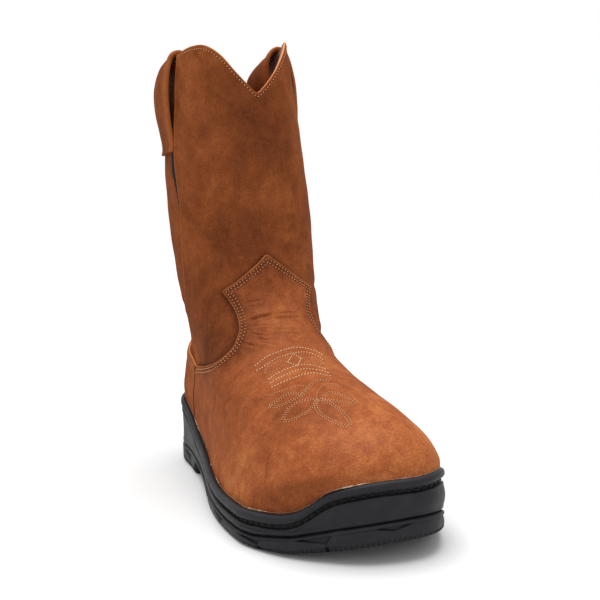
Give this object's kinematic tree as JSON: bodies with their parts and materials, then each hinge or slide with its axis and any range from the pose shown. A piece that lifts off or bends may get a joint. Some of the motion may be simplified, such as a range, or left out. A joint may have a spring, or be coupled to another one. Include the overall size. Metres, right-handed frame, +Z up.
{
  "type": "pull-on work boot",
  "caption": "Tall pull-on leather work boot with a scalloped top line, pull straps, a stitched vamp and counter, and a black rubber cup sole with a toe bumper and a low heel.",
  "frame": {"origin": "bottom centre of the boot's box, on the floor that it stands on", "axes": "+Z up along the shaft, -Y to the toe, +Y to the heel, +X to the inner (medial) side of the right foot"},
  "size_m": [0.1254, 0.3014, 0.3355],
  "materials": {
    "rubber_black": "moulded, matt to satin",
    "leather_brown": "oiled pull-up leather, mottled",
    "leather_vamp": "oiled pull-up leather, a little glossier",
    "elastic_black": "black backing strip",
    "insole_board": "cloth-covered foam board"
  },
  "bodies": {
    "root": {"outsole": "rubber_black", "cupsole": "rubber_black", "welt_bead": "rubber_black", "insole": "insole_board", "upper": "leather_brown", "vamp": "leather_vamp", "counter": "leather_vamp", "gore_lateral": "elastic_black", "gore_medial": "elastic_black", "pull_strap_lateral": "leather_brown", "pull_strap_medial": "leather_brown"}
  },
  "joints": []
}
